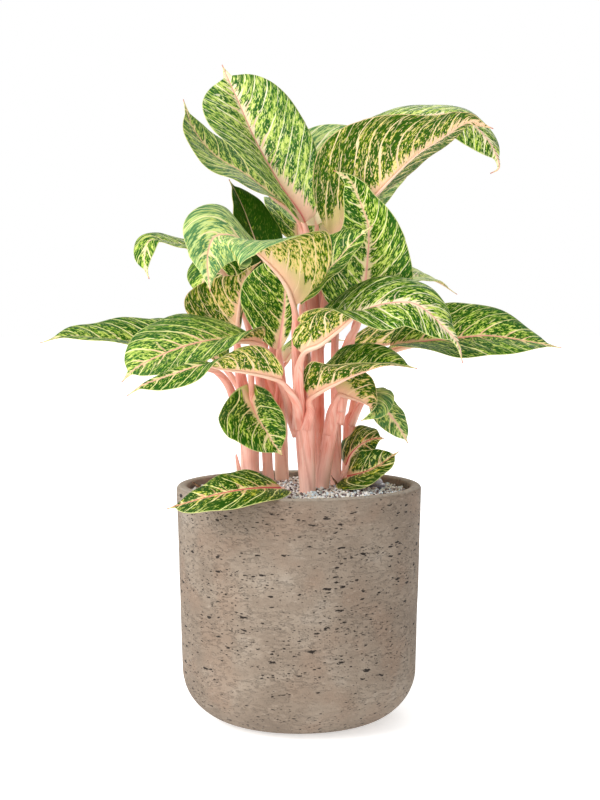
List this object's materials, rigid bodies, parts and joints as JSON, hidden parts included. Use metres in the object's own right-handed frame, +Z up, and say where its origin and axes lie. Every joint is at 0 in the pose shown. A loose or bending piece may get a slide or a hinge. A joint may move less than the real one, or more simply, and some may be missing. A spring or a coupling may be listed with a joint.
{
  "type": "potted plant",
  "caption": "Potted Chinese evergreen with variegated leaves on pink canes, in a round stone-look pot of pale granules with a water gauge.",
  "frame": {"origin": "centre of the pot's flat underside", "axes": "+Z up, the front of the plant looks along -Y, +X to the right seen from the front"},
  "size_m": [0.5853, 0.4812, 0.7513],
  "materials": {
    "stoneware": "washed, matt",
    "granules": "loose mineral granules",
    "clear_cap": "tinted translucent",
    "pin_red": "satin",
    "cane": "smooth, faintly waxy",
    "leaf": "satin, variegated",
    "dry_sheath": "withered, matt"
  },
  "bodies": {
    "root": {"pot": "stoneware", "cane_front": "cane", "cane_right": "cane", "cane_right_back": "cane", "cane_far_right": "cane", "cane_tall": "cane", "cane_back": "cane", "cane_left": "cane", "cane_left_inner": "cane", "leaf_top_left": "leaf", "leaf_top_left_low": "leaf", "leaf_top_right": "leaf", "leaf_top_right_back": "leaf", "leaf_top_back": "leaf", "leaf_upright_right": "leaf", "leaf_centre_left": "leaf", "leaf_centre_right": "leaf", "leaf_right_front": "leaf", "leaf_right": "leaf", "leaf_right_back": "leaf", "leaf_upright_left": "leaf", "leaf_inner_left": "leaf", "leaf_left_high": "leaf", "leaf_left_inner_back": "leaf", "leaf_back_left": "leaf", "leaf_stalk_back": "leaf", "leaf_left": "leaf", "leaf_left_front": "leaf", "leaf_left_low": "leaf", "leaf_right_low": "leaf", "leaf_right_curl": "leaf", "leaf_right_hanging": "leaf", "leaf_heart": "leaf", "leaf_over_rim": "leaf", "leaf_base_upper": "leaf", "leaf_base_lower": "leaf", "leaf_rear_left": "leaf", "leaf_rear_right": "leaf", "leaf_rear_middle": "leaf", "leaf_rear_top": "leaf", "leaf_rear_right_low": "leaf", "leaf_rear_left_low": "leaf", "water_gauge": "clear_cap", "gauge_pin": "pin_red", "stub_left": "cane", "stub_centre": "cane", "dry_twig": "dry_sheath", "dry_sheath": "dry_sheath", "soil": "granules"}
  },
  "joints": []
}
